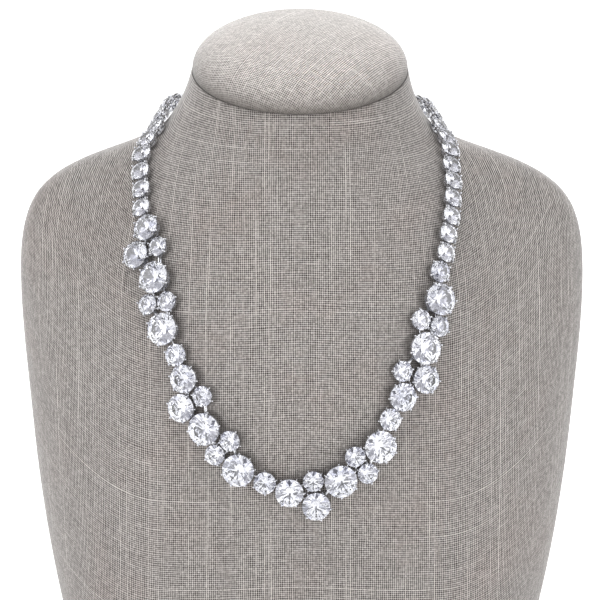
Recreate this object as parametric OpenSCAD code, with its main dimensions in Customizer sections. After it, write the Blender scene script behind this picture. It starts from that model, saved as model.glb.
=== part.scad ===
// Collar necklace of round brilliant stones in open settings, laid on a linen covered neck bust.
// The bust faces -Y and stands on its base board. The origin is the centre of the board's underside.

/* [Bust] */
// Thickness of the base board
board_h = 3; // [2:0.5:4]
// Inset of the base board from the foot of the form
board_inset = 1.5; // [1:0.5:3]
// Radius of the padded neck cap
cap_r = 33.4; // [33.2:0.1:34]
// Height of the cap above the cut of the neck
cap_h = 13; // [10:0.5:15]
// Forward tilt of the cut of the neck
neck_tilt = 19; // [17:1:20]

/* [Stones] */
// Diameter of the large stones
large_d = 9.8; // [9.6:0.1:9.9]
// Diameter of the medium stones
medium_d = 8.5; // [8.3:0.1:8.6]
// Diameter of the small stones
small_d = 6.2; // [6.1:0.1:6.3]
// Diameter of the small stone that goes alone with a large one
partner_d = 6.7; // [6.5:0.1:6.8]
// Gap between the girdles of neighbours
stone_gap = 0.25; // [0.25:0.05:0.3]
// Depth of a stone below its girdle, as a share of its diameter
pavilion_share = 0.43; // [0.42:0.01:0.44]
// Height of a stone above its girdle, as a share of its diameter
crown_share = 0.15; // [0.13:0.01:0.16]
// Width of a stone's table, as a share of its diameter
table_share = 0.56; // [0.53:0.01:0.6]

/* [Settings] */
// Height of the lowest tip of a stone above the linen
culet_gap = 0.6; // [0.6:0.1:0.8]
// Height of the base rail above the linen
rail_lift = 0.95; // [0.9:0.05:1]
// Width of a base rail
rail_w = 0.5; // [0.45:0.05:0.5]
// Height of a base rail
rail_h = 0.45; // [0.4:0.05:0.45]
// Width of a seat rail
seat_w = 0.45; // [0.4:0.05:0.45]
// Height of a seat rail
seat_h = 0.34; // [0.32:0.01:0.36]
// Depth of a seat rail's top below the girdle
seat_drop = 0.54; // [0.52:0.01:0.56]
// Outer radius of a base rail, as a share of its stone's radius
base_share = 0.77; // [0.76:0.01:0.78]
// Radius of a prong
prong_r = 0.23; // [0.22:0.01:0.24]
// Distance of a prong's foot from the outer edge of its base rail
foot_inset = 0.24; // [0.23:0.01:0.26]
// Radius of the claw at the top of a prong
claw_r = 0.3; // [0.28:0.01:0.32]
// Gap between metal and stone
fit_gap = 0.09; // [0.08:0.01:0.1]

/* [Links and clasp] */
// Thickness of a link's wire
link_w = 0.36; // [0.34:0.01:0.37]
// Gap between a link and the rails that it holds
link_gap = 0.1; // [0.1:0.01:0.12]
// Length of the clasp's body
clasp_l = 9; // [8:0.5:10]
// Width of the clasp's body
clasp_w = 3.6; // [3.4:0.2:4]
// Thickness of the clasp's body
clasp_t = 2.2; // [2:0.1:2.4]

/* [Hidden] */
// Columns of the table of the form's sections
LEVEL = 0;
CHEST_W = 1;
CHEST_D = 2;
WING_W = 3;
WING_D = 4;
WING_B = 5;
SIDE = 6;
// The form's sections: level, half width and front depth of the chest and neck, then half width,
// front depth and back depth of the shoulders
form_rows = [
    [0, 52, 37, 63, 32, 24, 0],
    [25, 55, 42.5, 70, 36, 27, 0.2],
    [50, 57.5, 47.5, 75.7, 39, 29, 0.4],
    [75, 59.5, 51, 79.8, 41, 30, 0.5],
    [100, 60, 52.5, 82.9, 40, 31, 0.6],
    [125, 59, 51.5, 85.8, 36, 31, 0.6],
    [145, 57, 48.5, 86.8, 28, 30, 0.5],
    [158, 53.5, 44.5, 84.8, 21, 28, 0.4],
    [166, 50, 41.5, 79.2, 17, 26, 0],
    [172, 46.7, 39.5, 69, 13.5, 23, -0.6],
    [176, 44.4, 38, 57, 11.2, 20, -1],
    [180, 41.5, 36.5, 35, 9.5, 17, -0.9],
    [186, 38.4, 34.5, 25, 9, 15, -0.6],
    [193, 34.8, 33, 20, 9, 13, -0.3],
    [200, 33, 32, 20, 9, 13, 0]
];
top_level = 200;
// Power that blends the chest with the shoulders
blend = 6;
// Depth of the chest's back at the foot as a share of its front
chest_back = 0.72;
// The levels from which the neck leans back and its sections tilt
lean_level = 120;
tilt_level = 166;
neck_lean = 6;
around_n = 60;
piece_gap = 0.1;

// Kinds of cluster, one row for each stone: bearing from the heading, positive outwards from the
// loop, diameter, and the turns of its prongs from the heading
BEARING = 0;
DIAMETER = 1;
PRONGS = 2;
pair_kind = [
    [0, medium_d, [0, 62, 122, -122, -62]],
    [28, medium_d, [125, 65, -10, -70, -130]],
    [-26, small_d, [45, 115, -119, -52]]
];
trio_kind = [
    [0, large_d, [6, 68, 128, -118, -55]],
    [17, small_d, [129, 67, -15, -100]],
    [-29, small_d, [-118, -50, 30, 110]]
];
duo_kind = [
    [0, large_d, [40, 80, 120, -130, -80, -28]],
    [-8, partner_d, [50, 125, -125, -52]]
];
// Clusters along the front: kind, distance of the first stone from the centre line, level, heading
KIND = 0;
ACROSS = 1;
UP = 2;
HEADING = 3;
clusters = [
    [pair_kind, -44.7, 153.5, -69],
    [trio_kind, -42, 140, -83],
    [duo_kind, -39.5, 125.7, -67],
    [pair_kind, -33.5, 111.7, -66],
    [trio_kind, -27.4, 97.2, -53],
    [duo_kind, -17.6, 85.4, -35],
    [pair_kind, -3, 78.8, 0],
    [trio_kind, 11.7, 82.3, 30],
    [duo_kind, 23, 92.25, 59],
    [pair_kind, 29.6, 106.65, 61],
    [trio_kind, 36, 120.6, 63],
    [duo_kind, 40.3, 134.1, 68]
];
solder_pairs = [[0, 1], [0, 2], [1, 2]];

// Turns and levels round the bust that the side strands follow, from the front to the nape
left_path = [
    [-63.3, 159.3], [-67, 164.7], [-71.5, 169.6], [-76.7, 175.1], [-82.2, 179.3], [-88, 181.9],
    [-95, 184.2], [-104, 184.9], [-116, 184], [-135, 181.7], [-158, 179.5], [-180, 178.6]
];
right_path = [
    [51.1, 147.2], [54.2, 152.5], [58.5, 157.9], [62.5, 162.9], [67.6, 168], [73.1, 172.8],
    [79, 176.8], [86, 180.5], [94, 183.1], [103, 184.2], [115, 183.7], [135, 181.6], [158, 179.5],
    [180, 178.6]
];
chain_prongs = [45, 135, -135, -45];
path_steps = 120;
// Places along a strand that set a seat's normal, from the seat itself, and the shares of a
// hollow's depth and of a hump's height that a seat is lifted by
bridge_steps = [-9, -4.5, 0, 4.5, 9];
hollow_share = 0.6;
hump_share = 0.4;

// Half the height of a stone's girdle, as a share of its diameter
band_share = 0.01;
// A prong's waist stands off the girdle by a share of the prong's radius, and is a little thicker
waist_share = 1.4;
waist_more = 0.03;
// Its tip is a little thinner, and the claw's middle lies beyond and above the girdle
tip_less = 0.02;
claw_out = 0.04;
claw_rise = 0.6;
// A solder bar is a little thinner than the rails that it joins
bar_less = 0.03;
// Number of sides of the small round wires
wire_fn = 16;
ring_fn = 48;

function numbered(name, i) = str(name, "_", i < 10 ? "0" : "", i);
function unit(v) = v / norm(v);
function ease(u) = let(v = min(1, max(0, u))) v * v * (3 - 2 * v);

// A value of the form's table at any level, by a smooth curve through the rows
function row_below(level, k = 0) =
    (k < len(form_rows) - 2 && level > form_rows[k + 1][LEVEL]) ? row_below(level, k + 1) : k;
function row_slope(k, column) =
    let(a = max(k - 1, 0), b = min(k + 1, len(form_rows) - 1))
    (form_rows[b][column] - form_rows[a][column]) / (form_rows[b][LEVEL] - form_rows[a][LEVEL]);
function curve(u, a, b, slope_a, slope_b) =
    let(v = 1 - u) v * v * ((1 + 2 * u) * a + u * slope_a) + u * u * ((1 + 2 * v) * b - v * slope_b);
function row_value(level, column) =
    let(k = row_below(level), span = form_rows[k + 1][LEVEL] - form_rows[k][LEVEL])
    curve((level - form_rows[k][LEVEL]) / span, form_rows[k][column], form_rows[k + 1][column],
        span * row_slope(k, column), span * row_slope(k + 1, column));
function section_at(level) =
    [level, for (column = [CHEST_W:SIDE]) row_value(level, column)];

// Points of the form by turn round the bust, 0 in front and 90 at +X, and by level
function ellipse_r(turn, w, d) = 1 / norm([sin(turn) / w, cos(turn) / d]);
function section_r(turn, section) =
    let(
        front = cos(turn) > 0,
        back_share = chest_back + (1 - chest_back) * pow(section[LEVEL] / top_level, 3),
        chest = ellipse_r(turn, section[CHEST_W], section[CHEST_D] * (front ? 1 : back_share)),
        wing = ellipse_r(turn, section[WING_W], section[front ? WING_D : WING_B])
    )
    pow(pow(chest, blend) + pow(wing, blend), 1 / blend);
function section_point(turn, section) =
    let(
        r = section_r(turn, section),
        lean = neck_lean * ease((section[LEVEL] - lean_level) / (top_level - lean_level)),
        tilt = neck_tilt * ease((section[LEVEL] - tilt_level) / (top_level - tilt_level))
    )
    [
        section[SIDE] + r * sin(turn),
        lean - r * cos(turn) * cos(tilt),
        section[LEVEL] - r * cos(turn) * sin(tilt)
    ];
function on_form(turn, level) = section_point(turn, section_at(level));

// A spot of the form: its place, the unit tangents across and up, the outward normal, and the
// length of one degree across, of one level across and of one level up
PLACE = 0;
ACROSS_DIR = 1;
UP_DIR = 2;
NORMAL = 3;
function spot(turn, level) =
    let(
        e = 0.5,
        by_turn = (on_form(turn + e, level) - on_form(turn - e, level)) / (2 * e),
        by_level = (on_form(turn, level + e) - on_form(turn, level - e)) / (2 * e),
        normal = unit(cross(by_turn, by_level)),
        across = unit(by_turn),
        up = cross(normal, across)
    )
    [on_form(turn, level), across, up, normal, norm(by_turn), by_level * across, by_level * up];
// Turn and level of the point that lies the given lengths across and up from a spot
function beside(turn, level, across, up) =
    let(s = spot(turn, level), rise = up / s[6]) [turn + (across - s[5] * rise) / s[4], level + rise];
// Turn of the front point at a distance from the centre line
function turn_at(across, level, low = -85, high = 85, steps = 20) =
    let(mid = (low + high) / 2)
    steps == 0 ? mid
        : on_form(mid, level)[0] < across ? turn_at(across, level, mid, high, steps - 1)
        : turn_at(across, level, low, mid, steps - 1);

// A seat holds one stone: its place on the form, the direction ahead, the normal, the diameter
// of the stone and the turns of its prongs
AHEAD = 1;
OUT = 2;
SIZE = 3;
CLAWS = 4;
function seat(turn, level, heading, size, claws) =
    let(s = spot(turn, level))
    [s[PLACE], cos(heading) * s[ACROSS_DIR] + sin(heading) * s[UP_DIR], s[NORMAL], size, claws];
function cluster_seats(row) =
    let(turn = turn_at(row[ACROSS], row[UP]), first = row[KIND][0])
    [for (stone = row[KIND])
        let(
            reach = stone == first ? 0 : (first[DIAMETER] + stone[DIAMETER]) / 2 + stone_gap,
            way = row[HEADING] - stone[BEARING],
            at = beside(turn, row[UP], reach * cos(way), reach * sin(way))
        )
        seat(at[0], at[1], row[HEADING], stone[DIAMETER], stone[PRONGS])];
front_seats = [for (row = clusters) cluster_seats(row)];
all_front_seats = [for (group = front_seats) each group];

// Smooth path of a side strand through its turns and levels, and its places by length
function path_slope(path, k) =
    let(a = max(k - 1, 0), b = min(k + 1, len(path) - 1)) (path[b] - path[a]) / (b - a);
function path_at(path, u) =
    let(k = min(floor(u), len(path) - 2), v = u - k)
    curve(v, path[k], path[k + 1], path_slope(path, k), path_slope(path, k + 1));
function path_point(path, u) = let(p = path_at(path, u)) on_form(p[0], p[1]);
function path_lengths(path, k = 0, total = 0, rows = []) =
    let(step = (len(path) - 1) / path_steps, grown = concat(rows, [[total, k * step]]))
    k == path_steps ? grown
        : path_lengths(path, k + 1,
            total + norm(path_point(path, (k + 1) * step) - path_point(path, k * step)), grown);
function path_spot(path, lengths, length) =
    let(p = path_at(path, lookup(length, lengths))) spot(p[0], p[1]);
// The seats of a strand. Where the form is hollow or sharply rounded they lie a little off the
// linen, and their normals turn gradually.
function strand_seats(path) =
    let(
        lengths = path_lengths(path),
        run = lengths[path_steps][0] - clasp_reach,
        count = 1 + round(run / (small_d + stone_gap)),
        pitch = run / (count - 1)
    )
    [for (i = [0:count - 1])
        let(
            along = [for (d = bridge_steps) path_spot(path, lengths, i * pitch + d)],
            middle = along[2],
            out = unit([for (s = along) 1] * [for (s = along) s[NORMAL]]),
            rise = ((along[0][PLACE] + along[4][PLACE]) / 2 - middle[PLACE]) * out,
            lift = rise > 0 ? hollow_share * rise : -hump_share * rise,
            way = along[3][PLACE] - along[1][PLACE]
        )
        [middle[PLACE] + lift * out, unit(way - (way * out) * out), out,
            small_d, chain_prongs]];

// Heights in a seat, from the linen, and half the height of a stone's girdle
function girdle_z(size) = culet_gap + pavilion_share * size;
function girdle_band(size) = band_share * size;
function base_r(size) = base_share * size / 2;
rail_z = rail_lift + rail_h / 2;

// The clasp's eyes are rings like a small base rail
eye_r = 1.6;
eye_x = clasp_l / 2 + eye_r - rail_w;
link_span = 1.4;
clasp_reach = eye_x + eye_r + link_span + base_r(small_d);
nape_level = left_path[len(left_path) - 1][1];
clasp_lift = 0.4;

left_seats = strand_seats(left_path);
right_seats = strand_seats(right_path);
function clasp_seat(side) =
    let(s = spot(180, nape_level))
    [s[PLACE] + side * eye_x * s[ACROSS_DIR], s[ACROSS_DIR], s[NORMAL], 2 * eye_r / base_share, []];

module in_seat(at) {
    x = at[AHEAD];
    z = at[OUT];
    y = cross(z, x);
    p = at[PLACE];
    multmatrix([
        [x[0], y[0], z[0], p[0]],
        [x[1], y[1], z[1], p[1]],
        [x[2], y[2], z[2], p[2]],
        [0, 0, 0, 1]
    ]) children();
}

module rod(from, to, r) {
    d = to - from;
    translate(from)
        rotate([0, acos(d[2] / norm(d)), atan2(d[1], d[0])])
            cylinder(h = norm(d), r = r, $fn = wire_fn);
}

module ring(r, z, w, h) {
    translate([0, 0, z])
        rotate_extrude($fn = ring_fn)
            translate([r - w, 0]) square([w, h]);
}

// Round brilliant cut: table, stars, kites and halves above the girdle, halves and mains below.
// The middle of the girdle is at the origin.
module brilliant(size) {
    r = size / 2;
    band = girdle_band(size);
    top = band + crown_share * size;
    tip = -band - pavilion_share * size;
    table_r = table_share * r;
    star_r = 0.5 * (table_r + r / cos(22.5));
    star_z = band + (top - band) * (r - star_r * cos(22.5)) / (r - table_r * cos(22.5));
    half_r = 0.25 * r;
    half_z = -band + (tip + band) * (1 - half_r * cos(22.5) / r);
    function around(n, radius, z, start) =
        [for (k = [0:n - 1])
            let(a = start + k * 360 / n) [radius * cos(a), radius * sin(a), z]];
    points = concat(
        around(8, table_r, top, 0),
        around(8, star_r, star_z, 22.5),
        around(16, r, band, 0),
        around(16, r, -band, 0),
        around(8, half_r, half_z, 22.5),
        [[0, 0, tip]]
    );
    star = 8;
    upper = 16;
    lower = 32;
    half = 48;
    culet = 56;
    faces = concat(
        [[for (k = [7:-1:0]) k]],
        [for (k = [0:7]) each [
            [k, (k + 1) % 8, star + k],
            [k, star + k, upper + 2 * k, star + (k + 7) % 8],
            [star + k, upper + 2 * k + 1, upper + 2 * k],
            [star + k, upper + (2 * k + 2) % 16, upper + 2 * k + 1],
            [half + k, lower + 2 * k, lower + 2 * k + 1],
            [half + k, lower + 2 * k + 1, lower + (2 * k + 2) % 16],
            [culet, half + (k + 7) % 8, lower + 2 * k, half + k]
        ]],
        [for (k = [0:15]) [upper + k, upper + (k + 1) % 16, lower + (k + 1) % 16, lower + k]]
    );
    polyhedron(points = points, faces = faces, convexity = 2);
}

// A prong leans out from the base rail to the girdle and back in over it to its claw
module prong(size) {
    foot = [base_r(size) - foot_inset, 0, rail_z];
    waist = [size / 2 + waist_share * prong_r + fit_gap, 0, girdle_z(size) - girdle_band(size)];
    claw = [size / 2 + claw_out, 0, girdle_z(size) + claw_rise];
    rod(foot, waist, prong_r);
    translate(waist) sphere(r = prong_r + waist_more, $fn = wire_fn);
    rod(waist, claw, prong_r - tip_less);
    translate(claw) sphere(r = claw_r, $fn = wire_fn);
}

// Open basket of one stone: base rail, seat rail under the girdle and prongs
module basket(size, claws) {
    seat_r = size / 2 - (seat_drop - girdle_band(size)) / (2 * pavilion_share) + fit_gap + seat_w;
    ring(base_r(size), rail_lift, rail_w, rail_h);
    ring(seat_r, girdle_z(size) - seat_drop - seat_h, seat_w, seat_h);
    for (turn = claws) rotate(turn) prong(size);
}

module stones(seats) {
    color("aliceblue")
        for (at = seats) in_seat(at) translate([0, 0, girdle_z(at[SIZE])]) brilliant(at[SIZE]);
}

module settings(seats) {
    color("silver")
        for (at = seats) in_seat(at) basket(at[SIZE], at[CLAWS]);
}

// The point of a seat's base rail that is nearest to another seat
function rail_centre(at) = at[PLACE] + rail_z * at[OUT];
function rail_point(at, other) =
    let(way = rail_centre(other) - rail_centre(at))
    rail_centre(at) + (base_r(at[SIZE]) - rail_w / 2) * unit(way - (way * at[OUT]) * at[OUT]);

// Bar between two base rails of one cluster
module solder_bar(a, b) {
    rod(rail_point(a, b), rail_point(b, a), rail_h / 2 - bar_less);
}

module cluster(seats) {
    settings(seats);
    color("silver")
        for (pair = solder_pairs) if (pair[1] < len(seats)) solder_bar(seats[pair[0]], seats[pair[1]]);
}

module capsule(half, r) {
    translate([-half, -r]) square([2 * half, 2 * r]);
    for (x = [-half, half]) translate([x, 0]) circle(r = r, $fn = wire_fn);
}

// Flat wire link that passes round the base rails of two seats
module link(a, b) {
    from = rail_point(a, b);
    to = rail_point(b, a);
    ahead = unit(to - from);
    side = unit(cross(a[OUT] + b[OUT], ahead));
    inner = norm([rail_w, rail_h]) / 2 + link_gap;
    color("silver")
        in_seat([(from + to) / 2, ahead, cross(ahead, side)])
            rotate([90, 0, 0])
                linear_extrude(link_w, center = true)
                    difference() {
                        capsule(norm(to - from) / 2, inner + link_w);
                        capsule(norm(to - from) / 2, inner);
                    }
}

module links(seats) {
    for (i = [1:len(seats) - 1]) link(seats[i - 1], seats[i]);
}

// Links from the trailing stones of each cluster to the first stone of the next
module front_links() {
    for (i = [1:len(front_seats) - 1])
        for (k = [1:len(front_seats[i - 1]) - 1])
            link(front_seats[i - 1][k], front_seats[i][0]);
    link(left_seats[0], front_seats[0][0]);
    link(front_seats[11][1], right_seats[0]);
}

module clasp() {
    s = spot(180, nape_level);
    color("silver")
        in_seat([s[PLACE], s[ACROSS_DIR], s[NORMAL]]) {
            translate([0, 0, clasp_lift])
                linear_extrude(clasp_t) capsule((clasp_l - clasp_w) / 2, clasp_w / 2);
            for (side = [-1, 1])
                translate([side * eye_x, 0, 0]) ring(eye_r, rail_lift, rail_w, rail_h);
        }
}

// Rows of the form's mesh are closer where it curves more
form_levels = concat(
    [board_h + piece_gap], [for (z = [10:8:138]) z], [for (z = [144:4:164]) z],
    [for (z = [166:1.5:187]) z], [for (z = [189.5:3.5:200]) z]
);

module bust_form() {
    n = around_n;
    rows = [for (level = form_levels)
        let(section = section_at(level), w = max(section[CHEST_W], section[WING_W]), d = section[CHEST_D])
        [for (k = [0:n - 1]) section_point(atan2(w * sin(k * 360 / n), d * cos(k * 360 / n)), section)]];
    last = len(rows) - 1;
    faces = concat(
        [[for (k = [0:n - 1]) k]],
        [[for (k = [n - 1:-1:0]) last * n + k]],
        [for (j = [0:last - 1], k = [0:n - 1])
            let(a = j * n + k, b = j * n + (k + 1) % n) each [[a, a + n, b + n], [a, b + n, b]]]
    );
    color("rosybrown") polyhedron(points = [for (row = rows) each row], faces = faces, convexity = 6);
}

module bust_base() {
    section = section_at(0);
    outline = [for (k = [0:around_n - 1]) let(p = section_point(k * 360 / around_n, section)) [p[0], p[1]]];
    color("dimgray")
        linear_extrude(board_h) polygon([for (p = outline) p * (1 - board_inset / norm(p))]);
}

module bust_cap() {
    edge_n = 14;
    fullness = 2.4;
    profile = [for (k = [0:edge_n])
        let(a = k * 90 / edge_n) [cap_r * pow(cos(a), 2 / fullness), cap_h * pow(sin(a), 2 / fullness)]];
    color("tan")
        translate([0, neck_lean, top_level + piece_gap])
            rotate([neck_tilt, 0, 0])
                rotate_extrude($fn = 96) polygon(concat([[0, 0]], profile));
}

bust_base();
bust_form();
bust_cap();
for (i = [1:32]) stones([all_front_seats[i - 1]]);
for (i = [1:len(clusters)]) cluster(front_seats[i - 1]);
front_links();
settings(left_seats);  // strand_left_settings
stones(left_seats);  // strand_left_stones
links(concat(left_seats, [clasp_seat(1)]));  // strand_left_links
settings(right_seats);  // strand_right_settings
stones(right_seats);  // strand_right_stones
links(concat(right_seats, [clasp_seat(-1)]));  // strand_right_links
clasp();
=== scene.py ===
"""A collar necklace of round brilliants on a linen covered neck bust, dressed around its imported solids."""

from __future__ import annotations

import logging
import math
import random
from dataclasses import dataclass, field
from enum import Enum
from typing import Any, Sequence

import bmesh
import bpy
import numpy as np
from mathutils import Matrix, Vector
from mathutils.bvhtree import BVHTree

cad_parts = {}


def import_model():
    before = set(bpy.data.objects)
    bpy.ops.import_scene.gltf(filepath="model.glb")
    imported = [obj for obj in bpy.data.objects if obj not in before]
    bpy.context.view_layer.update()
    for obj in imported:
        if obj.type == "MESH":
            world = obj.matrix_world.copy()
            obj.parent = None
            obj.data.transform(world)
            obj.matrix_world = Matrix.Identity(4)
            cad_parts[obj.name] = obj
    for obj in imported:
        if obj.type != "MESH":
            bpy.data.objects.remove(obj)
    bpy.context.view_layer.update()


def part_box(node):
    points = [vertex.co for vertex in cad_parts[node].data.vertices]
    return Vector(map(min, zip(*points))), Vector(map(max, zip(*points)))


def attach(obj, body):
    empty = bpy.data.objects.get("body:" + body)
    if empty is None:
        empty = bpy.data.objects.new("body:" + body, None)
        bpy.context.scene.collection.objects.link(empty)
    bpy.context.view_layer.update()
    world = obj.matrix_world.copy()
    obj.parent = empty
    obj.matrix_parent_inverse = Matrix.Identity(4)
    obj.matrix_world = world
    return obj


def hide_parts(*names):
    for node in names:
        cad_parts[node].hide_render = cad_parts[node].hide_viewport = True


log = logging.getLogger("necklace")

MM = 0.001
BODY = "root"
MAIN_STONES = 32
FRONT_SETTINGS = 12
TABLE_BAND = 0.05 * MM
GIRDLE_SHARE = 0.98
HALF_FACET = 22.5
Colour = tuple[float, float, float]


class Signal:
    """A node's output, with the operators of ordinary sums. Each operator adds a Math node."""

    def __init__(self, graph: Graph, socket: bpy.types.NodeSocket) -> None:
        """Keep the socket and the graph that it belongs to.

        Args:
            graph: The node graph in which the sums are added.
            socket: The output that this value stands for.
        """
        self.graph = graph
        self.socket = socket

    def __add__(self, other: Value) -> Signal:
        """Sum of two values."""
        return self.graph.maths("ADD", self, other)

    def __sub__(self, other: Value) -> Signal:
        """Difference of two values."""
        return self.graph.maths("SUBTRACT", self, other)

    def __rsub__(self, other: Value) -> Signal:
        """Difference, with this value taken away."""
        return self.graph.maths("SUBTRACT", other, self)

    def __mul__(self, other: Value) -> Signal:
        """Product of two values."""
        return self.graph.maths("MULTIPLY", self, other)

    def __truediv__(self, other: Value) -> Signal:
        """Quotient of two values."""
        return self.graph.maths("DIVIDE", self, other)

    def __abs__(self) -> Signal:
        """Size of the value without its sign."""
        return self.graph.maths("ABSOLUTE", self)

    __radd__ = __add__
    __rmul__ = __mul__

    def over(self, low: float, high: float) -> Signal:
        """Smooth step of the value.

        Args:
            low: The value at which the step starts.
            high: The value at which it ends; a lower one than the start turns the step round.

        Returns:
            0 before the step, 1 after it.
        """
        if low > high:
            return 1 - self.over(high, low)
        return self.graph.node(
            "ShaderNodeMapRange",
            {"interpolation_type": "SMOOTHSTEP"},
            {"Value": self, "From Min": low, "From Max": high},
        )


Value = Signal | float
Paint = Signal | Colour


class Graph:
    """The node tree of one material or of the world."""

    def __init__(self, tree: bpy.types.NodeTree) -> None:
        """Start on an empty tree.

        Args:
            tree: The node tree to fill.
        """
        self.tree = tree
        self.tree.nodes.clear()

    def node(
        self,
        kind: str,
        settings: dict[str, Any] | None = None,
        inputs: dict[str | int, Value | Paint] | None = None,
        output: str | int = 0,
    ) -> Signal:
        """Add any node.

        Args:
            kind: Blender's name for the type of node.
            settings: The node's own settings; "stops" holds a ramp's places and colours.
            inputs: A value, colour or signal for each named or numbered socket.
            output: The name or number of the wanted output.

        Returns:
            The wanted output.
        """
        made = self.tree.nodes.new(kind)
        for name, value in (settings or {}).items():
            if name == "stops":
                self.set_stops(made, value)
            else:
                setattr(made, name, value)
        for name, value in (inputs or {}).items():
            socket = made.inputs[name]
            if isinstance(value, Signal):
                self.tree.links.new(value.socket, socket)
            elif socket.type == "RGBA":
                socket.default_value = (*value, 1)
            else:
                socket.default_value = value
        return Signal(self, made.outputs[output])

    @staticmethod
    def set_stops(ramp: bpy.types.Node, stops: Sequence[tuple[float, Colour]]) -> None:
        """Give a colour ramp its stops.

        Args:
            ramp: The ramp's node.
            stops: The place and the colour of each stop, two or more.
        """
        elements = ramp.color_ramp.elements
        while len(elements) < len(stops):
            elements.new(0.5)
        for element, (place, colour) in zip(elements, stops):
            element.position = place
            element.color = (*colour, 1)

    def maths(self, operation: str, *values: Value) -> Signal:
        """Add a Math node.

        Args:
            operation: Blender's name for the sum.
            values: One to three numbers or signals.

        Returns:
            The result.
        """
        return self.node("ShaderNodeMath", {"operation": operation}, dict(enumerate(values)))

    def mix(self, share: Value, first: Paint, second: Paint, blend: str = "MIX") -> Signal:
        """Mix two colours.

        Args:
            share: How much of the second colour shows.
            first: The colour at a share of 0.
            second: The colour at a share of 1.
            blend: Blender's name for the way of mixing.

        Returns:
            The mixed colour.
        """
        settings = {"data_type": "RGBA", "blend_type": blend}
        return self.node("ShaderNodeMix", settings, {"Factor": share, 6: first, 7: second}, 2)

    def attribute(self, name: str) -> Signal:
        """Read a number that is stored on the mesh.

        Args:
            name: The attribute's name.

        Returns:
            Its value.
        """
        return self.node("ShaderNodeAttribute", {"attribute_name": name}, output="Fac")

    def place(self, *parts: Value) -> Signal:
        """Join numbers into a vector.

        Args:
            parts: Up to three numbers, for X, Y and Z.

        Returns:
            The vector.
        """
        return self.node("ShaderNodeCombineXYZ", None, dict(enumerate(parts)))

    def position(self) -> Signal:
        """Read the place on the object, in metres."""
        return self.node("ShaderNodeTexCoord", output="Object")

    def noise(self, at: Signal, scale: float, detail: float = 2, roughness: float = 0.5) -> Signal:
        """Add soft noise.

        Args:
            at: The place that is looked up.
            scale: Waves for each unit of that place.
            detail: How many finer layers it has.
            roughness: The strength of the finer layers.

        Returns:
            Noise about 0.5.
        """
        inputs = {"Vector": at, "Scale": scale, "Detail": detail, "Roughness": roughness}
        return self.node("ShaderNodeTexNoise", None, inputs)

    def chance(self, number: Signal, seed: float) -> Signal:
        """Give a whole number its own random value.

        Args:
            number: The whole number.
            seed: A number that sets one use apart from another.

        Returns:
            A value from 0 to 1.
        """
        settings = {"noise_dimensions": "1D"}
        return self.node("ShaderNodeTexWhiteNoise", settings, {"W": number + seed}, "Value")


class Surface:
    """A new material with one Principled shader."""

    def __init__(self, name: str, **constants: float | Colour) -> None:
        """Make the material.

        Args:
            name: The material's name.
            constants: Values for the shader's sockets, with _ for each space in a name.
        """
        self.material = bpy.data.materials.new(name)
        self.material.use_nodes = True
        self.graph = Graph(self.material.node_tree)
        self.shader = self.graph.tree.nodes.new("ShaderNodeBsdfPrincipled")
        output = self.graph.tree.nodes.new("ShaderNodeOutputMaterial")
        self.graph.tree.links.new(self.shader.outputs[0], output.inputs[0])
        for key, value in constants.items():
            socket = self.shader.inputs[key.replace("_", " ")]
            socket.default_value = (*value, 1) if socket.type == "RGBA" else value

    def feed(self, socket: str, signal: Signal) -> None:
        """Let a signal drive one of the shader's sockets.

        Args:
            socket: The socket's name.
            signal: What drives it.
        """
        self.graph.tree.links.new(signal.socket, self.shader.inputs[socket])

    def relief(self, height: Signal, depth: float, strength: float) -> None:
        """Raise the surface in its shading.

        Args:
            height: The height, from 0 to 1.
            depth: The real height in metres of a height of 1.
            strength: The share of the relief that shows.
        """
        inputs = {"Height": height, "Distance": depth, "Strength": strength}
        self.feed("Normal", self.graph.node("ShaderNodeBump", None, inputs))


@dataclass(frozen=True)
class Threads:
    """The signals of one family of parallel threads."""

    wave: Signal
    number: Signal
    tone: Signal
    slub: Signal


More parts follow.
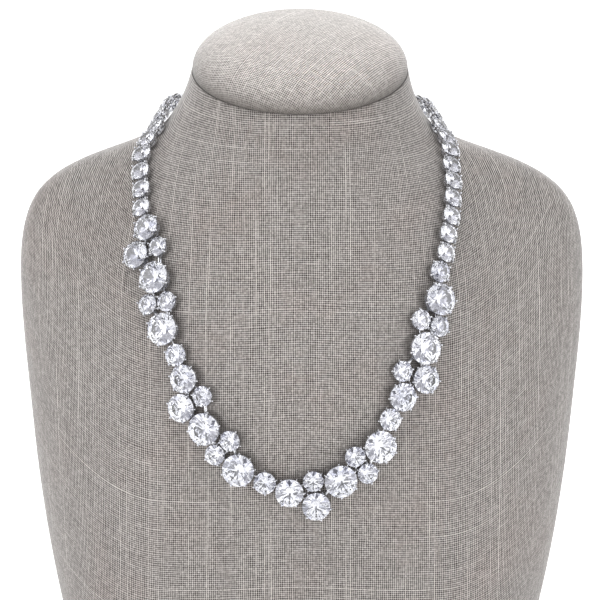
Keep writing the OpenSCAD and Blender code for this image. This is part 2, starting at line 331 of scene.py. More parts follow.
@dataclass(frozen=True)
class LinenFinish:
    """Plain woven linen with uneven threads and slubs.

    The cloth's own coordinates come from the mesh, in millimetres, as cloth_u and cloth_v. Its
    cloth_shade is painted shade that pulls the colour towards that of the holes: 1 in the seam
    groove, and less on the neck under the cap, on the cap's lower side and under the stones.
    """

    name: str
    thread: Colour = (0.46, 0.431, 0.41)
    slub: Colour = (0.62, 0.58, 0.545)
    # Colour of the holes between threads, and also the colour that painted shade pulls towards.
    gap_and_shade: Colour = (0.028, 0.022, 0.018)
    blush: Colour = (0.45, 0.392, 0.367)
    pitch: float = 0.65
    wander_turns: float = 1.2
    jitter_turns: float = 0.3
    slub_blend: float = 0.12
    slub_run: tuple[float, float] = (0.36, 0.66)
    warp_slubs: float = 0.78
    weft_slubs: float = 0.86
    warp_seed: float = 3.0
    weft_seed: float = 61.0
    crossing_rise: float = 0.6
    hole_spread: tuple[float, float] = (1.42, 0.55)
    unevenness: float = 1.0
    relief_depth: float = 0.2 * MM

    def threads(self, graph: Graph, across: Signal, along: Signal, seed: float, plain: float) -> Threads:
        """Work out one family of parallel threads.

        Args:
            graph: The material's graph.
            across: The place across the threads, in millimetres.
            along: The place along the threads, in millimetres.
            seed: A number that sets the warp apart from the weft.
            plain: The share of threads without any slub.

        Returns:
            The threads.
        """
        wander = graph.noise(graph.place(across * 0.3 + seed, along * 0.02), 1, 2) - 0.5
        jitter = graph.noise(graph.place(across * 1.3 + seed, along * 0.16), 1, 1) - 0.5
        turns = across / self.pitch + wander * self.wander_turns + jitter * self.jitter_turns
        number = graph.maths("FLOOR", turns)
        uneven = graph.noise(graph.place(number * 3.77 + seed, along * 0.4), 1, 2)
        run = graph.noise(graph.place(number * 7.31 + seed, along * 0.03), 1, 1)
        picked = graph.chance(number, seed + 41.7).over(plain, plain + self.slub_blend)
        return Threads(
            wave=graph.maths("SINE", turns * math.pi),
            number=number,
            tone=(graph.chance(number, seed) * 0.16 + uneven * 0.4 - 0.28) * self.unevenness,
            slub=picked * run.over(*self.slub_run),
        )

    def material(self) -> bpy.types.Material:
        """Make the material.

        Returns:
            The linen.
        """
        surface = Surface(
            self.name,
            Roughness=0.9,
            IOR=1.4,
            Specular_IOR_Level=0.15,
            Sheen_Weight=0.4,
            Sheen_Roughness=0.5,
        )
        graph = surface.graph
        u, v = graph.attribute("cloth_u"), graph.attribute("cloth_v")
        warp = self.threads(graph, u, v, self.warp_seed, self.warp_slubs)
        weft = self.threads(graph, v, u, self.weft_seed, self.weft_slubs)
        crossing = warp.wave * weft.wave * self.crossing_rise
        warp_height = abs(warp.wave) + crossing + warp.slub * 0.9
        weft_height = abs(weft.wave) - crossing + weft.slub * 0.6
        height = graph.maths("MAXIMUM", warp_height, weft_height)
        on_top = (warp_height - weft_height).over(-0.12, 0.12)
        tone = on_top * warp.tone + (1 - on_top) * weft.tone
        crest, ridge = (abs(family.wave).over(0.5, 1.0) for family in (warp, weft))
        slub = on_top * warp.slub * crest + (1 - on_top) * weft.slub * ridge * 0.95
        flat = graph.place(u, v)
        knots = {"Vector": graph.place(warp.number, weft.number)}
        knot = graph.node("ShaderNodeTexWhiteNoise", {"noise_dimensions": "2D"}, knots, "Value")
        patch = graph.noise(flat, 0.035, 3, 0.6).over(0.42, 0.72)
        fuzz = graph.noise(flat, 3.2, 2)
        colour = graph.mix(patch * 0.55, self.thread, self.blush)
        level = 0.82 + tone + knot * (0.2 * self.unevenness) + fuzz * 0.16
        colour = graph.mix(1.0, colour, graph.place(level, level, level), "MULTIPLY")
        colour = graph.mix(slub.over(0.05, 0.8) * 0.75, colour, self.slub)
        spread = warp.wave * warp.wave + weft.wave * weft.wave
        hole = spread.over(*self.hole_spread) * (1.25 - knot * 0.5) * (1 - slub * 0.8)
        # The holes take the dark colour, and so does the painted shade from cloth_shade.
        deep = graph.maths("MAXIMUM", hole, graph.attribute("cloth_shade"))
        surface.feed("Base Color", graph.mix(deep, colour, self.gap_and_shade))
        surface.relief(height * 0.5, self.relief_depth, 0.3)
        return surface.material


@dataclass(frozen=True)
class SilverFinish:
    """Polished rhodium plate with the faint unevenness of hand setting."""

    name: str = "polished_rhodium"
    base: Colour = (0.82, 0.825, 0.845)
    shade: Colour = (0.64, 0.65, 0.675)
    cast_scale: float = 900.0
    polish_scale: float = 2400.0

    def material(self) -> bpy.types.Material:
        """Make the material.

        Returns:
            The metal.
        """
        surface = Surface(self.name, Metallic=1.0)
        graph = surface.graph
        at = graph.position()
        cast = graph.noise(at, self.cast_scale, 3)
        surface.feed("Base Color", graph.mix(cast.over(0.35, 0.65), self.base, self.shade))
        surface.feed("Roughness", graph.noise(at, self.polish_scale, 2) * 0.2 + 0.16)
        surface.relief(cast, 0.05 * MM, 0.25)
        return surface.material


@dataclass(frozen=True)
class StoneFinish:
    """Clear cubic stones with a faint ice blue, and facets darkened more or less as painted dark
    reflections.
    """

    name: str = "clear_brilliant"
    clear: Colour = (0.965, 0.972, 1.0)
    dark_reflection: Colour = (0.32, 0.335, 0.42)
    ior: float = 2.15

    def material(self) -> bpy.types.Material:
        """Make the material.

        Returns:
            The stone.
        """
        surface = Surface(self.name, Transmission_Weight=1.0, Roughness=0.0, IOR=self.ior)
        graph = surface.graph
        # Painted dark reflections: each facet's tint pulls its colour towards a dark blue grey.
        tint = graph.attribute("facet_tint")
        surface.feed("Base Color", graph.mix(tint, self.clear, self.dark_reflection))
        return surface.material


@dataclass(frozen=True)
class BoardFinish:
    """Pressed board under the form, with a felted grain."""

    name: str = "base_board"
    dark: Colour = (0.05, 0.045, 0.042)
    light: Colour = (0.11, 0.10, 0.092)
    grain_scale: float = 1800.0

    def material(self) -> bpy.types.Material:
        """Make the material.

        Returns:
            The board.
        """
        surface = Surface(self.name)
        graph = surface.graph
        grain = graph.noise(graph.position(), self.grain_scale, 4, 0.7)
        surface.feed("Base Color", graph.mix(grain.over(0.3, 0.7), self.dark, self.light))
        surface.feed("Roughness", grain * 0.3 + 0.62)
        surface.relief(grain, 0.08 * MM, 0.6)
        return surface.material


def new_piece(name: str, bm: bmesh.types.BMesh, material: bpy.types.Material) -> bpy.types.Object:
    """Turn a mesh under work into a piece of the scene.

    Args:
        name: The piece's name.
        bm: The finished mesh, which is freed.
        material: Its finish.

    Returns:
        The new object.
    """
    mesh = bpy.data.meshes.new(name)
    bm.to_mesh(mesh)
    bm.free()
    mesh.materials.append(material)
    piece = bpy.data.objects.new(name, mesh)
    bpy.context.scene.collection.objects.link(piece)
    return piece


def seat_on_body(piece: bpy.types.Object, slot: str, *nodes: str) -> None:
    """Let a piece ride on the body in place of its nodes, and report it.

    Args:
        piece: The piece.
        slot: The record's material slot; not used.
        nodes: The nodes that it stands for.
    """
    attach(piece, BODY)
    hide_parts(*nodes)
    log.info("%s stands for %s: %d faces", piece.name, ", ".join(nodes), len(piece.data.polygons))


def soften(values: np.ndarray, spread: float, axis: int, closed: bool) -> np.ndarray:
    """Smooth a grid along one of its directions.

    Args:
        values: The grid.
        spread: The width of the smoothing, in steps of the grid.
        axis: The direction.
        closed: Whether the grid closes on itself in that direction.

    Returns:
        The smoothed grid.
    """
    reach = int(math.ceil(3 * spread))
    steps = np.arange(-reach, reach + 1)
    weights = np.exp(-0.5 * (steps / spread) ** 2)
    weights /= weights.sum()
    values = np.moveaxis(values, axis, 0)
    if closed:
        padded = np.concatenate([values[-reach:], values, values[:reach]])
    else:
        first = 2 * values[:1] - values[reach:0:-1]
        last = 2 * values[-1:] - values[-2 : -reach - 2 : -1]
        padded = np.concatenate([first, values, last])
    out = sum(w * padded[i : i + len(values)] for i, w in enumerate(weights))
    return np.moveaxis(out, 0, axis)


def arc_along(points: np.ndarray, axis: int) -> np.ndarray:
    """Length along a grid of points from its first row.

    Args:
        points: The grid, with the coordinates last.
        axis: The direction that is followed.

    Returns:
        The length at each point, in the points' own unit.
    """
    steps = np.linalg.norm(np.diff(points, axis=axis), axis=-1)
    start = np.zeros_like(np.take(steps, [0], axis=axis))
    return np.concatenate([start, np.cumsum(steps, axis=axis)], axis=axis)


@dataclass
class ClothSkin:
    """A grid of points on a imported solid, closed round and carrying its cloth coordinates."""

    name: str
    slot: str
    node: str
    finish: LinenFinish
    spokes: int = 360

    def tree(self) -> BVHTree:
        """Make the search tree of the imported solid.

        Returns:
            The tree.
        """
        mesh = bpy.data.objects[self.node].data
        corners = [v.co.copy() for v in mesh.vertices]
        return BVHTree.FromPolygons(corners, [tuple(p.vertices) for p in mesh.polygons])

    def build(
        self,
        points: np.ndarray,
        cloth: np.ndarray,
        poles: list[tuple[bool, Vector, Sequence[float]]],
    ) -> None:
        """Make the skin's mesh.

        Args:
            points: Rows of points from one end to the other, in metres.
            cloth: Both cloth coordinates of each point, in millimetres, and its shade, with
                one more column than the points, where the cloth meets itself.
            poles: For each end, whether it comes first, its closing point and its cloth place.
        """
        bm = bmesh.new()
        rows, columns = points.shape[:2]
        verts = [[bm.verts.new(p) for p in row] for row in points]
        layers = [bm.loops.layers.float.new(n) for n in ("cloth_u", "cloth_v", "cloth_shade")]

        def face(corners: list[bmesh.types.BMVert], places: list[Sequence[float]]) -> None:
            """Add one face.

            Args:
                corners: Its corners in order.
                places: The cloth place of each corner.
            """
            made = bm.faces.new(corners)
            made.smooth = True
            for loop, place in zip(made.loops, places):
                for layer, value in zip(layers, place):
                    loop[layer] = value

        for i in range(rows - 1):
            for j in range(columns):
                k = (j + 1) % columns
                face(
                    [verts[i][j], verts[i][k], verts[i + 1][k], verts[i + 1][j]],
                    [cloth[i, j], cloth[i, j + 1], cloth[i + 1, j + 1], cloth[i + 1, j]],
                )
        for first, point, place in poles:
            tip = bm.verts.new(point)
            i = 0 if first else rows - 1
            for j in range(columns):
                k = (j + 1) % columns
                corners, places = [verts[i][k], verts[i][j], tip], [cloth[i, j + 1], cloth[i, j], place]
                if not first:
                    corners[:2], places[:2] = corners[1::-1], places[1::-1]
                face(corners, places)
        piece = new_piece(self.name, bm, self.finish.material())
        seat_on_body(piece, self.slot, self.node)


@dataclass
class LinenForm(ClothSkin):
    """The chest, shoulders and neck, in one piece of stretched linen."""

    rings: int = 232
    lean: float = 6 * MM
    lean_from: float = 120 * MM
    tilt_from: float = 166 * MM
    top: float = 200 * MM
    tilt: float = math.radians(19)
    hem: float = 1.6 * MM
    # Radius of the rounding at the top, and also the width of the painted shade in the seam groove.
    seam: float = 0.5 * MM
    last_rows: tuple[float, ...] = (0.3, 0.5, 0.62, 0.74, 0.84, 0.92, 0.98, 1.0)
    # Painted shade on the neck under the cap.
    neck_shade: float = 0.15
    neck_reach: float = 28 * MM
    cover: float = 0.3 * MM
    neck_lean: float = 0.1
    neck_from: float = 135 * MM
    lean_side: float = 12 * MM
    lean_width: float = 40 * MM
    pull_side: float = 45 * MM
    pull_width: float = 75 * MM
    pull_down: float = 0.12
    pull_up: float = 24 * MM
    end_gap: float = 0.02 * MM
    even_round: float = 3.0
    even_up: float = 3.2
    seats: list[Seat] = field(default_factory=list)
    culet_gap: float = 0.6 * MM
    pavilion: float = 0.43
    shade_starts: float = 0.85
    shade_ends: float = 1.3
    shade_most: float = 0.6

    def ring_frame(self, level: float) -> tuple[Vector, Vector]:
        """Find the plane of one ring.

        Args:
            level: The ring's height at its centre.

        Returns:
            The centre and the direction to the back, which leans up near the neck.
        """
        back = self.lean * ease((level - self.lean_from) / (self.top - self.lean_from))
        turn = self.tilt * ease((level - self.tilt_from) / (self.top - self.tilt_from))
        return Vector((0, back, level)), Vector((0, math.cos(turn), math.sin(turn)))

    def make(self) -> None:
        """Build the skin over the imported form."""
        tree = self.tree()
        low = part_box(self.node)[0].z + self.end_gap
        levels = np.linspace(low, self.top - self.end_gap, self.rings)
        angles = np.arange(self.spokes) * 2 * math.pi / self.spokes
        grid = np.zeros((self.rings, self.spokes, 3))
        for i, level in enumerate(levels):
            centre, back = self.ring_frame(level)
            for j, angle in enumerate(angles):
                way = Vector((-math.sin(angle), 0, 0)) + back * math.cos(angle)
                grid[i, j] = tree.ray_cast(centre, way)[0] + way * self.cover
        grid = soften(soften(grid, self.even_round, 1, True), self.even_up, 0, False)
        grid[0] = grid[0] * [1, 1, 0] + [0, 0, low]
        shares = np.array(self.last_rows)
        last = [grid[-2] + (grid[-1] - grid[-2]) * share for share in shares]
        grid = np.concatenate([grid[:-1], last])
        levels = np.concatenate([levels[:-1], levels[-2] + (levels[-1] - levels[-2]) * shares])
        self.tuck(grid, levels - low, self.hem)
        self.tuck(grid, self.top - levels, self.seam)
        ends = [(i == 0, Vector(grid[i].mean(axis=0)), (0, 0, 1)) for i in (0, -1)]
        self.build(grid, self.cloth(grid, levels), ends)

    @staticmethod
    def tuck(grid: np.ndarray, away: np.ndarray, reach: float) -> None:
        """Round the cloth in towards one of its ends.

        Args:
            grid: The points of the skin, which are moved.
            away: The distance of each row from that end.
            reach: The radius of the rounding.
        """
        left = 1 - np.clip(away / reach, 0, 1)
        centres = grid.mean(axis=1, keepdims=True)
        radius = np.linalg.norm(grid - centres, axis=-1, keepdims=True)
        depth = (reach * (1 - np.sqrt(1 - left**2)))[:, None, None]
        grid += (centres - grid) * depth / radius

    def cloth(self, grid: np.ndarray, levels: np.ndarray) -> np.ndarray:
        """Lay the cloth on the form: upright in front, and pulled up over the shoulders.

        Args:
            grid: The points of the skin; the first column is at the back.
            levels: The height of each row.

        Returns:
            Both cloth coordinates in millimetres and the shade, with one more column than the points.
        """
        closed = np.concatenate([grid, grid[:, :1]], axis=1)
        round_it = arc_along(closed, 1)
        u = round_it[:, self.spokes // 2][:, None] - round_it
        up = arc_along(closed, 0)
        v = up * (up[-1, self.spokes // 2] / up[-1])
        side = np.clip((np.abs(u) - self.lean_side) / self.lean_width, 0, 1)
        lean = self.neck_lean * side**2 * np.clip(v - self.neck_from, 0, None)
        u, v = u + np.sign(u) * lean, v + self.pull(np.abs(u))
        below = self.top - levels
        # Painted shade: darker on the neck towards the cap, deepest in the seam groove, and under the
        # stones.
        neck = self.neck_shade * np.clip(1 - below / self.neck_reach, 0, 1)
        seam = np.clip(1 - below / self.seam, 0, 1)
        shade = np.maximum(self.under_stones(closed), (seam + neck)[:, None])
        return np.stack([u / MM, v / MM, shade], axis=-1)

    def pull(self, u: np.ndarray) -> np.ndarray:
        """Find how far the weft is pulled: it falls a little from the middle and rises at the sides.

        Args:
            u: The distance round the form from the middle of the front, in metres.

        Returns:
            What is added to the cloth's height, in metres.
        """
        side = np.clip((u - self.pull_side) / self.pull_width, 0, 1)
        fall = self.pull_side * np.tanh((u / self.pull_side) ** 1.5)
        return self.pull_down * fall - self.pull_up * side * side * (3 - 2 * side)

    def under_stones(self, points: np.ndarray) -> np.ndarray:
        """Find how deep each point lies in the shade of the necklace.

        Args:
            points: The points of the skin.

        Returns:
            The shade, from 0 to the most that a stone gives.
        """
        # Painted shadow: the linen's colour is darkened under and around each stone.
        shade = np.zeros(points.shape[:2])
        for seat in self.seats:
            foot = np.array(seat.place - seat.out * (self.culet_gap + self.pavilion * seat.size))
            share = np.linalg.norm(points - foot, axis=-1) / (seat.size / 2)
            near = np.clip((self.shade_ends - share) / (self.shade_ends - self.shade_starts), 0, 1)
            shade = np.maximum(shade, self.shade_most * near * near * (3 - 2 * near))
        return shade


@dataclass
class LinenCap(ClothSkin):
    """The padded disc that closes the neck, in lighter linen laid at a slant, paler partly as painted light
    on its upward face.
    """

    rings: int = 130
    lowest_climb: float = -75.0
    highest_climb: float = 89.0
    rim: float = -4.0
    crowding: float = 2.0
    heart_lift: float = 2.5 * MM
    even_round: float = 2.0
    even_up: float = 1.5
    tilt: float = math.radians(19)
    slant: float = math.radians(33)
    roll: float = 0.9 * MM
    tuck: float = 0.3 * MM
    tuck_from: float = 20 * MM
    # Painted shade: the lowest share of the rim roll is darkest, and the cap darkens towards its lower side.
    seam_share: float = 0.4
    low_shade: float = 0.95
    low_reach: float = 10 * MM

    def make(self) -> None:
        """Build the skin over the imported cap."""
        tree = self.tree()
        lowest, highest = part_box(self.node)
        out = Vector((0, -math.sin(self.tilt), math.cos(self.tilt)))
        back = Vector((0, math.cos(self.tilt), math.sin(self.tilt)))
        middle = (lowest + highest) / 2
        span = tree.ray_cast(middle, out)[0], tree.ray_cast(middle, -out)[0]
        heart = span[1] + out * self.heart_lift
        angles = np.arange(self.spokes) * 2 * math.pi / self.spokes
        first, last = (
            math.asinh((climb - self.rim) / self.crowding)
            for climb in (self.lowest_climb, self.highest_climb)
        )
        spread = self.crowding * np.sinh(np.linspace(first, last, self.rings))
        climbs = np.radians(self.rim + spread)
        grid = np.zeros((self.rings, self.spokes, 3))
        for i, climb in enumerate(climbs):
            for j, angle in enumerate(angles):
                flat = Vector((-math.sin(angle), 0, 0)) + back * math.cos(angle)
                grid[i, j] = tree.ray_cast(heart, flat * math.cos(climb) + out * math.sin(climb))[0]
        grid = soften(soften(grid, self.even_round, 1, True), self.even_up, 0, False)
        above = (grid - np.array(span[1])) @ np.array(out)
        left = 1 - np.clip(above / self.roll, 0, 1)
        centre = np.array(span[1]) + above[..., None] * np.array(out)
        radius = np.linalg.norm(grid - centre, axis=-1) + 1e-9
        drawn_in = self.tuck * (1 - np.sqrt(1 - left**2)) * (radius > self.tuck_from)
        grid += (centre - grid) * (drawn_in / radius)[..., None]
        # Painted shade: dark in the seam groove at the rim, and darker towards the cap's lower side.
        seam = np.clip((left - (1 - self.seam_share)) / self.seam_share, 0, 1)
        shade = seam + self.low_shade * np.clip(1 - above / self.low_reach, 0, 1)
        down = arc_along(grid[::-1], 0)[::-1]
        turn = angles + self.slant
        cloth = np.stack([down * np.sin(turn) / MM, down * np.cos(turn) / MM, shade], axis=-1)
        cloth = np.concatenate([cloth, cloth[:, :1]], axis=1)
        ends = [(i == 0, Vector(grid[i].mean(axis=0)), cloth[i].mean(axis=0)) for i in (0, -1)]
        self.build(grid, cloth, ends)


def ease(share: float) -> float:
    """Smooth step from 0 to 1.

    Args:
        share: The place in the step.

    Returns:
        The eased share.
    """
    share = min(1.0, max(0.0, share))
    return share * share * (3 - 2 * share)


@dataclass(frozen=True)
class Seat:
    """Where one stone sits."""

    place: Vector
    out: Vector
    across: Vector
    size: float

    def matrix(self) -> Matrix:
        """Turn and scale a brilliant of unit size into this seat.

        Returns:
            The matrix that moves it there.
        """
        side = self.out.cross(self.across)
        turn = Matrix((self.across, side, self.out)).transposed().to_4x4()
        return Matrix.Translation(self.place) @ turn @ Matrix.Scale(self.size, 4)


def all_seats() -> dict[str, list[Seat]]:
    """Find the seats of the whole necklace.

    Returns:
        The seats in each node of stones.
    """
    nodes = [f"stone_{number:02d}" for number in range(1, MAIN_STONES + 1)]
    return {node: read_seats(node) for node in nodes + ["strand_left_stones", "strand_right_stones"]}


def read_seats(node: str) -> list[Seat]:
    """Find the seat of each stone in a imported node.

    Args:
        node: The node of one or more brilliants.

    Returns:
        A seat for each stone.
    """
    bm = bmesh.new()
    bm.from_mesh(bpy.data.objects[node].data)
    bmesh.ops.remove_doubles(bm, verts=bm.verts, dist=1e-6)
    seats, seen = [], set()
    for start in bm.verts:
        if start.index in seen:
            continue
        island, queue = [], [start]
        seen.add(start.index)
        while queue:
            vert = queue.pop()
            island.append(vert)
            for edge in vert.link_edges:
                other = edge.other_vert(vert)
                if other.index not in seen:
                    seen.add(other.index)
                    queue.append(other)
        seats.append(measure_stone(island))
    bm.free()
    return seats


def measure_stone(island: list[bmesh.types.BMVert]) -> Seat:
    """Measure the seat of one stone from its corners.

    Args:
        island: The corners of the stone.

    Returns:
        Its seat, with the girdle's middle as its place.
    """
    areas: dict[tuple[float, ...], float] = {}
    for face in {f for v in island for f in v.link_faces}:
        key = tuple(round(x, 2) for x in face.normal)
        areas[key] = areas.get(key, 0) + face.calc_area()
    out = Vector(max(areas, key=areas.get)).normalized()
    corners = np.array([v.co for v in island])
    heights = corners @ np.array(out)
    table = corners[heights > heights.max() - TABLE_BAND]
    tip = Vector(corners[heights.argmin()])
    out = (Vector(table.mean(axis=0)) - tip).normalized()
    reach = [(Vector(c) - tip) - (Vector(c) - tip).dot(out) * out for c in corners]
    radius = max(r.length for r in reach)
    widest = GIRDLE_SHARE * radius
    girdle = [(Vector(c) - tip).dot(out) for c, r in zip(corners, reach) if r.length > widest]
    across = Vector(table[0]) - Vector(table.mean(axis=0))
    across = (across - across.dot(out) * out).normalized()
    return Seat(tip + out * (sum(girdle) / len(girdle)), out, across, 2 * radius)


@dataclass
class BrilliantCut:
    """Round brilliant of unit size, cut out of a rod by the planes of its facets."""

    table: float = 0.56
    crown: float = 0.15
    pavilion: float = 0.43
    band: float = 0.01
    star_share: float = 0.5
    half_share: float = 0.75
    sides: int = 64
    rod: float = 1.4

    def planes(self) -> list[tuple[Vector, Vector, Vector]]:
        """List the facets below and above the girdle, but for the table.

        Returns:
            Three points on each facet's plane.
        """
        table_r, top = self.table / 2, self.band + self.crown
        half_turn = math.radians(HALF_FACET)
        lean = self.crown / (0.5 - table_r)
        inner = table_r * math.cos(half_turn)
        star_r = inner + self.star_share * (0.5 - inner)
        star_z = top - lean * (star_r * math.cos(half_turn) - table_r)
        half_r = 0.5 * (1 - self.half_share)
        half_z = -self.band - self.pavilion * (1 - half_r * math.cos(half_turn) / 0.5)
        tip = Vector((0, 0, -self.band - self.pavilion))
        found = []
        for k in range(8):
            here, after, before = (
                math.radians(2 * HALF_FACET * k + turn) for turn in (0, HALF_FACET, -HALF_FACET)
            )
            corner = at(table_r, here, top)
            above, below = at(0.5, here, self.band), at(0.5, here, -self.band)
            found.append((corner, above, corner + level_way(here)))
            found.append((tip, below, tip + level_way(here)))
            found.append((corner, at(table_r, here + 2 * half_turn, top), at(star_r, after, star_z)))
            for side in (after, before):
                found.append((at(star_r, side, star_z), above, at(0.5, side, self.band)))
                found.append((at(half_r, side, half_z), below, at(0.5, side, -self.band)))
        return found

    def mesh(self) -> bmesh.types.BMesh:
        """Cut the stone.

        Returns:
            The stone, with its girdle's middle at the origin and its table up.
        """
        bm = bmesh.new()
        top, bottom = self.band + self.crown, -self.band - self.pavilion
        bmesh.ops.create_cone(
            bm, cap_ends=True, segments=self.sides, radius1=0.5, radius2=0.5, depth=self.rod
        )
        bmesh.ops.rotate(bm, verts=bm.verts, matrix=Matrix.Rotation(math.pi / self.sides, 3, "Z"))
        cut_away(bm, Vector((0, 0, top)), Vector((0, 0, 1)))
        heart = Vector((0, 0, (top + bottom) / 2))
        for a, b, c in self.planes():
            normal = (b - a).cross(c - a).normalized()
            if normal.dot(heart - a) > 0:
                normal.negate()
            cut_away(bm, a, normal)
        return bm


def at(radius: float, angle: float, height: float) -> Vector:
    """Place a point by its radius, angle and height.

    Args:
        radius: The distance from the axis.
        angle: The turn about the axis.
        height: The height along the axis.

    Returns:
        The point.
    """
    return Vector((radius * math.cos(angle), radius * math.sin(angle), height))


def level_way(angle: float) -> Vector:
    """Give the level direction that is square to an angle.

    Args:
        angle: The turn about the axis.

    Returns:
        The direction.
    """
    return Vector((-math.sin(angle), math.cos(angle), 0))


def cut_away(bm: bmesh.types.BMesh, place: Vector, normal: Vector) -> None:
    """Cut a closed mesh by a plane and close it again.

    Args:
        bm: The mesh.
        place: A point on the plane.
        normal: The direction of the part that is cut away.
    """
    geometry = bm.verts[:] + bm.edges[:] + bm.faces[:]
    cut = bmesh.ops.bisect_plane(
        bm, geom=geometry, plane_co=place, plane_no=normal, dist=1e-6, clear_outer=True
    )
    edges = [e for e in cut["geom_cut"] if isinstance(e, bmesh.types.BMEdge) and e.is_boundary]
    if edges:
        bmesh.ops.contextual_create(bm, geom=edges)


@dataclass(frozen=True)
class Tints:
    """How much painted dark reflection the stones show: the most for a whole stone and for one facet."""

    stone: float
    facet: float


@dataclass
class Stones:
    """The cut stones, each a fine brilliant in its own seat."""

    seats: dict[str, list[Seat]]
    slot: str = "stone"
    seed: int = 17
    front_tints: Tints = Tints(0.28, 0.95)
    strand_tints: Tints = Tints(0.05, 0.25)

    def make(self) -> None:
        """Build the main stones one by one, and the stones of each strand as one piece."""
        material = StoneFinish().material()
        cut = BrilliantCut().mesh()
        rolls = random.Random(self.seed)
        for node, seats in self.seats.items():
            tints = self.front_tints if len(seats) == 1 else self.strand_tints
            self.set_stones(node, cut, material, rolls, tints)
        cut.free()

    def set_stones(
        self,
        node: str,
        cut: bmesh.types.BMesh,
        material: bpy.types.Material,
        rolls: random.Random,
        tints: Tints,
    ) -> None:
        """Set brilliants in all the seats of one node.

        Args:
            node: The node that the new piece replaces.
            cut: The brilliant of unit size.
            material: The stones' finish.
            rolls: The source of each facet's tint.
            tints: The most painted dark reflection that shows.
        """
        pattern = bpy.data.meshes.new("pattern")
        cut.to_mesh(pattern)
        bm = bmesh.new()
        tint = bm.faces.layers.float.new("facet_tint")
        for seat in self.seats[node]:
            own = rolls.random() * tints.stone
            before = len(bm.faces)
            bm.from_mesh(pattern)
            bm.verts.ensure_lookup_table()
            bm.faces.ensure_lookup_table()
            fresh = bm.faces[before:]
            corners = {v for f in fresh for v in f.verts}
            bmesh.ops.transform(bm, matrix=seat.matrix(), verts=list(corners))
            for face in fresh:
                # A random share of painted dark reflection for the whole stone and for each facet.
                face[tint] = own + tints.facet * rolls.random() ** 3
        bpy.data.meshes.remove(pattern)
        seat_on_body(new_piece(node.replace("stone", "brilliant"), bm, material), self.slot, node)


@dataclass
class Metalwork:
    """The settings, links and clasp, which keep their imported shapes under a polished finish."""

    others: tuple[str, ...] = (
        "front_links",
        "strand_left_settings",
        "strand_left_links",
        "strand_right_settings",
        "strand_right_links",
        "clasp",
    )

    def make(self) -> None:
        """Give every metal node its finish."""
        material = SilverFinish().material()
        names = [f"setting_{i:02d}" for i in range(1, FRONT_SETTINGS + 1)]
        for name in names + list(self.others):
            dress_node(name, material)


def dress_node(name: str, material: bpy.types.Material) -> None:
    """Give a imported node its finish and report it.

    Args:
        name: The node.
        material: Its finish.
    """
    node = bpy.data.objects[name]
    node.data.materials.clear()
    node.data.materials.append(material)
    log.info("%s keeps its packed shape: %d faces", name, len(node.data.polygons))


@dataclass
class NeckBust:
    """The linen covered bust that holds the necklace."""

    seats: list[Seat]

    def make(self) -> None:
        """Build the form and the cap, and dress the board."""
        LinenForm("linen_form", "linen", "bust_form", LinenFinish("bust_linen"), seats=self.seats).make()
        # Paler colours than the form's: partly a paler cloth, partly painted light on the cap's upward face.
        cap = LinenFinish(
            "cap_linen",
            thread=(0.81, 0.765, 0.73),
            slub=(0.92, 0.88, 0.84),
            gap_and_shade=(0.07, 0.06, 0.052),
            blush=(0.80, 0.725, 0.69),
            warp_slubs=0.88,
            weft_slubs=0.86,
            unevenness=0.7,
        )
        LinenCap("linen_cap", "linen", "bust_cap", cap).make()
        dress_node("bust_base", BoardFinish().material())


class Softbox(Enum):
    """The studio's lamps: place and size in metres, power in watts."""

    OVERHEAD = ((-0.1, -0.35, 1.25), 0.6, 6.0)
    FRONT_LEFT = ((-0.9, -1.15, 0.12), 0.5, 6.0)
    FRONT_RIGHT = ((0.95, -1.1, 0.2), 0.5, 4.2)
    BEHIND = ((0.0, 1.1, 0.9), 0.9, 14.0)


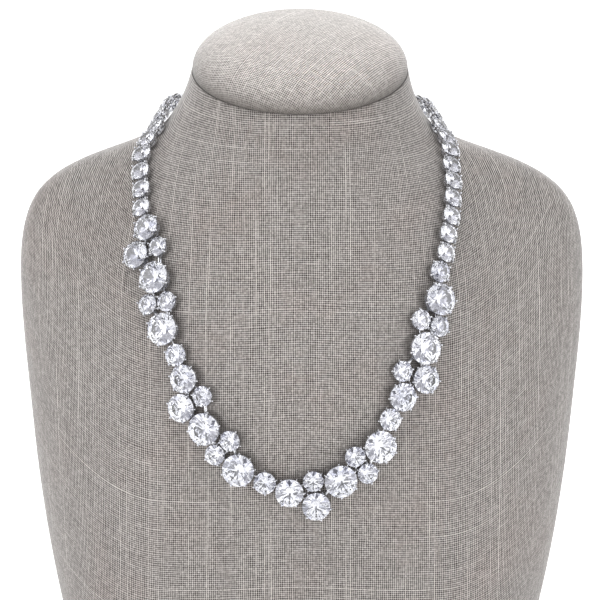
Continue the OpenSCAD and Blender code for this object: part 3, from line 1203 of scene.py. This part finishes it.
@dataclass
class Studio:
    """A pale floor that glows as painted light, dimmer near the bust as a painted shadow, soft lamps and the
    camera of the photograph.
    """

    target: Vector = field(default_factory=lambda: Vector((0, 0, 0.129)))
    elevation: float = math.radians(8)
    distance: float = 1.5
    lens: float = 290.0
    floor_radius: float = 9.0
    near_floor_glow: Colour = (0.42, 0.42, 0.42)
    far_floor_glow: Colour = (0.6, 0.6, 0.6)
    floor_fade: tuple[float, float] = (0.15, 0.9)
    low_light: Colour = (0.44, 0.445, 0.46)
    high_light: Colour = (0.52, 0.52, 0.52)
    backdrop: Colour = (1.0, 1.0, 1.0)
    viewer: Colour = (0.06, 0.065, 0.08)
    viewer_share: float = 0.9
    pane_scale: float = 2.4
    pane_noise: float = 0.6
    side_panes: float = 0.5
    middle_pane: float = 0.08
    panes: tuple[tuple[float, Colour], ...] = (
        (0.36, (0.05, 0.052, 0.068)),
        (0.43, (0.30, 0.30, 0.355)),
        (0.52, (0.54, 0.535, 0.60)),
        (0.60, (0.98, 0.975, 1.04)),
        (0.66, (2.2, 2.2, 2.3)),
    )

    def make(self) -> None:
        """Set up the floor, the light and the camera."""
        bpy.context.scene.view_settings.view_transform = "Standard"
        self.floor()
        self.surround()
        for lamp in Softbox:
            self.lamp(lamp)
        self.camera()

    def floor(self) -> None:
        """Lay the floor under the board; its glow is painted light, dimmer near the bust as a painted
        shadow.
        """
        bm = bmesh.new()
        bmesh.ops.create_circle(bm, cap_ends=True, segments=96, radius=self.floor_radius)
        surface = Surface("pale_floor", Base_Color=(0.8, 0.8, 0.8), Roughness=0.9, Emission_Strength=1.0)
        graph = surface.graph
        away = graph.node("ShaderNodeVectorMath", {"operation": "LENGTH"}, {0: graph.position()}, "Value")
        # Painted light: the floor glows, dimmer near the bust as a painted shadow.
        glow = graph.mix(away.over(*self.floor_fade), self.near_floor_glow, self.far_floor_glow)
        surface.feed("Emission Color", glow)
        new_piece("floor", bm, surface.material)

    def surround(self) -> None:
        """Light the room: bright above, with panes and shades to mirror, and white behind the object."""
        world = bpy.data.worlds.new("studio")
        bpy.context.scene.world = world
        world.use_nodes = True
        graph = Graph(world.node_tree)
        way = graph.node("ShaderNodeTexCoord", output="Generated")
        side, depth, height = (
            graph.node("ShaderNodeSeparateXYZ", None, {0: way}, axis) for axis in "XYZ"
        )
        light = graph.mix(height.over(-0.1, 0.9), self.low_light, self.high_light)
        light = graph.mix(depth.over(-0.1, 0.7), light, self.backdrop)
        mottle = graph.noise(way, self.pane_scale, 2) * self.pane_noise
        panes = {"Fac": mottle + abs(side) * self.side_panes + self.middle_pane}
        front = graph.node("ShaderNodeValToRGB", {"stops": self.panes}, panes)
        front = graph.mix(depth.over(-0.93, -0.985) * self.viewer_share, front, self.viewer)
        mirrored = graph.mix(depth.over(-0.1, 0.35), front, self.backdrop)
        glossy, passed = (
            graph.node("ShaderNodeLightPath", output=f"Is {kind} Ray") for kind in ("Glossy", "Transmission")
        )
        light = graph.mix(graph.maths("MAXIMUM", glossy, passed), light, mirrored)
        seen = graph.node("ShaderNodeLightPath", output="Is Camera Ray")
        colour = graph.mix(seen, light, self.backdrop)
        shader = graph.node("ShaderNodeBackground", None, {"Color": colour, "Strength": 1.0})
        output = graph.tree.nodes.new("ShaderNodeOutputWorld")
        graph.tree.links.new(shader.socket, output.inputs["Surface"])

    def lamp(self, lamp: Softbox) -> None:
        """Hang one lamp that looks at the necklace.

        Args:
            lamp: The lamp.
        """
        place, size, power = lamp.value
        light = bpy.data.lights.new(lamp.name.lower(), "AREA")
        light.shape = "DISK"
        light.size, light.energy = size, power
        holder = bpy.data.objects.new(light.name, light)
        holder.location = place
        holder.visible_glossy = holder.visible_transmission = False
        holder.rotation_euler = (self.target - Vector(place)).to_track_quat("-Z", "Y").to_euler()
        bpy.context.scene.collection.objects.link(holder)

    def camera(self) -> None:
        """Stand the camera where the photograph was taken from."""
        data = bpy.data.cameras.new("camera")
        data.lens, data.sensor_width = self.lens, 36.0
        data.clip_start, data.clip_end = 0.1, 50.0
        camera = bpy.data.objects.new("camera", data)
        back = Vector((0, -math.cos(self.elevation), math.sin(self.elevation)))
        camera.location = self.target + back * self.distance
        camera.rotation_euler = (-back).to_track_quat("-Z", "Y").to_euler()
        bpy.context.scene.collection.objects.link(camera)
        bpy.context.scene.camera = camera


def main() -> None:
    """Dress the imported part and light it."""
    logging.basicConfig(level=logging.INFO, format="%(message)s")
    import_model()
    seats = all_seats()
    Studio().make()
    NeckBust([seat for group in seats.values() for seat in group]).make()
    Metalwork().make()
    Stones(seats).make()


if __name__ == "__main__":
    main()
